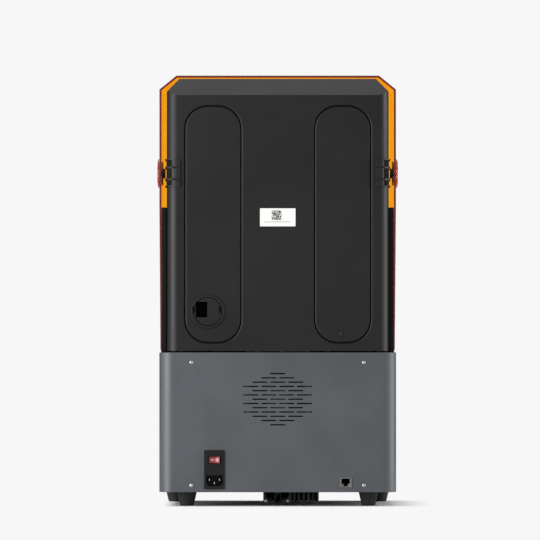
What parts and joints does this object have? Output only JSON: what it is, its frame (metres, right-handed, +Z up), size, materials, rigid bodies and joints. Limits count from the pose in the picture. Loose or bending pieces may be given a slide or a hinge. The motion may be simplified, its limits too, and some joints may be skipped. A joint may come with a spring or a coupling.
{
  "type": "resin 3d printer",
  "caption": "Desktop resin printer with a flip-up amber hood, rear-hinged on a black column cover, over a grey metal base with feet, vents, power inlet and network socket.",
  "frame": {"origin": "centre of the footprint at floor level, midway between the outermost sides, front and rear", "axes": "+Z up, -Y towards the front with the touch screen, +Y towards the rear with the power inlet, +X to the right of someone facing the front"},
  "size_m": [0.341, 0.2716, 0.608],
  "materials": {
    "grey_paint": "dark grey fine-texture powder coat on folded sheet steel",
    "shell_black": "matte black moulded plastic",
    "panel_black": "fine-grained black plastic",
    "amber_hood": "glossy translucent amber acrylic",
    "black_metal": "black anodised or painted metal",
    "steel": "bare ground steel",
    "plated_steel": "nickel-plated pressed steel",
    "aluminium": "blasted and clear-anodised aluminium",
    "rubber": "black rubber",
    "fan_plastic": "black glass-filled plastic",
    "inlet_plastic": "black moulded plastic with plated contacts",
    "rocker_red": "glossy red plastic",
    "circuit_board": "green solder mask with black parts",
    "screen_glass": "black cover glass",
    "label_white": "satin white sticker",
    "film": "clear fluoropolymer film",
    "knob_black": "black moulded knob"
  },
  "bodies": {
    "base": {"back_panel": "panel_black", "base_housing": "grey_paint", "bottom_plate": "grey_paint", "cable_plug": "panel_black", "ethernet_jack": "plated_steel", "foot_front_left": "rubber", "foot_front_right": "rubber", "foot_rear_left": "rubber", "foot_rear_right": "rubber", "hinge_bracket_left": "black_metal", "hinge_bracket_right": "black_metal", "hinge_pin_left": "black_metal", "hinge_pin_right": "black_metal", "id_label": "label_white", "lcd_panel": "screen_glass", "led_board": "circuit_board", "light_fan_frame": "fan_plastic", "light_housing": "panel_black", "linear_rail_left": "steel", "linear_rail_right": "steel", "main_board": "circuit_board", "power_inlet": "inlet_plastic", "power_supply": "plated_steel", "rear_fan_frame": "fan_plastic", "rear_screw_lower_left": "plated_steel", "rear_screw_lower_right": "plated_steel", "rear_screw_upper_left": "plated_steel", "rear_screw_upper_right": "plated_steel", "rear_shell": "shell_black", "release_film": "film", "resin_vat": "aluminium", "screw_top_bearing": "black_metal", "side_panel_left": "panel_black", "side_panel_right": "panel_black", "top_deck": "grey_paint", "touch_screen_bezel": "panel_black", "touch_screen_glass": "screen_glass", "usb_port": "plated_steel", "uv_heatsink": "black_metal", "z_column": "aluminium", "z_motor": "black_metal"},
    "hood": {"hood_shell": "amber_hood", "hinge_plate_left": "black_metal", "hinge_plate_right": "black_metal", "hinge_cap_left": "amber_hood", "hinge_cap_right": "amber_hood"},
    "carriage": {"carriage_plate": "aluminium", "carriage_block_left": "steel", "carriage_block_right": "steel", "support_arm": "black_metal", "platform_mount": "aluminium", "build_platform": "aluminium"},
    "platform_knob": {"platform_knob": "knob_black"},
    "lead_screw": {"lead_screw": "steel"},
    "vat_knob_left": {"vat_knob_left": "knob_black"},
    "vat_knob_right": {"vat_knob_right": "knob_black"},
    "power_rocker": {"power_rocker": "rocker_red"},
    "rear_fan_rotor": {"rear_fan_rotor": "fan_plastic"},
    "light_fan_rotor": {"light_fan_rotor": "fan_plastic"},
    "rear_port_cover": {"rear_port_cover": "panel_black"}
  },
  "joints": [
    {"name": "hood_hinge", "type": "hinge", "parent": "base", "child": "hood", "pos_m": [0, 0.063, 0.47], "axis": [-1, 0, 0], "range_deg": [0, 80]},
    {"name": "z_lift", "type": "slide", "parent": "base", "child": "carriage", "axis": [0, 0, 1], "range_m": [-0.16, 0.075]},
    {"name": "lead_screw_spin", "type": "hinge", "parent": "base", "child": "lead_screw", "pos_m": [0, 0.056, 0.4], "axis": [0, 0, 1], "range_deg": [-6751, 14401]},
    {"name": "platform_knob_turn", "type": "hinge", "parent": "carriage", "child": "platform_knob", "pos_m": [0, -0.044, 0.47], "axis": [0, 0, 1], "range_deg": [0, 720]},
    {"name": "vat_knob_left_turn", "type": "hinge", "parent": "base", "child": "vat_knob_left", "pos_m": [-0.154, -0.044, 0.23], "axis": [0, 0, 1], "range_deg": [0, 720]},
    {"name": "vat_knob_right_turn", "type": "hinge", "parent": "base", "child": "vat_knob_right", "pos_m": [0.154, -0.044, 0.23], "axis": [0, 0, 1], "range_deg": [0, 720]},
    {"name": "power_rocker_tilt", "type": "hinge", "parent": "base", "child": "power_rocker", "pos_m": [0.0889, 0.129, 0.0653], "axis": [0, 0, 1], "range_deg": [0, 14]},
    {"name": "rear_fan_spin", "type": "hinge", "parent": "base", "child": "rear_fan_rotor", "pos_m": [0, 0.115, 0.1507], "axis": [0, 1, 0], "continuous": true},
    {"name": "light_fan_spin", "type": "hinge", "parent": "base", "child": "light_fan_rotor", "pos_m": [0.0005, 0.07, 0.022], "axis": [0, 1, 0], "continuous": true},
    {"name": "rear_port_cover_twist", "type": "hinge", "parent": "base", "child": "rear_port_cover", "pos_m": [0.0986, 0.1313, 0.274], "axis": [0, 1, 0], "range_deg": [0, 30]}
  ],
  "couplings": [
    {"joint": "lead_screw_spin", "follows": "z_lift", "rad_per_m": -1570.8}
  ]
}
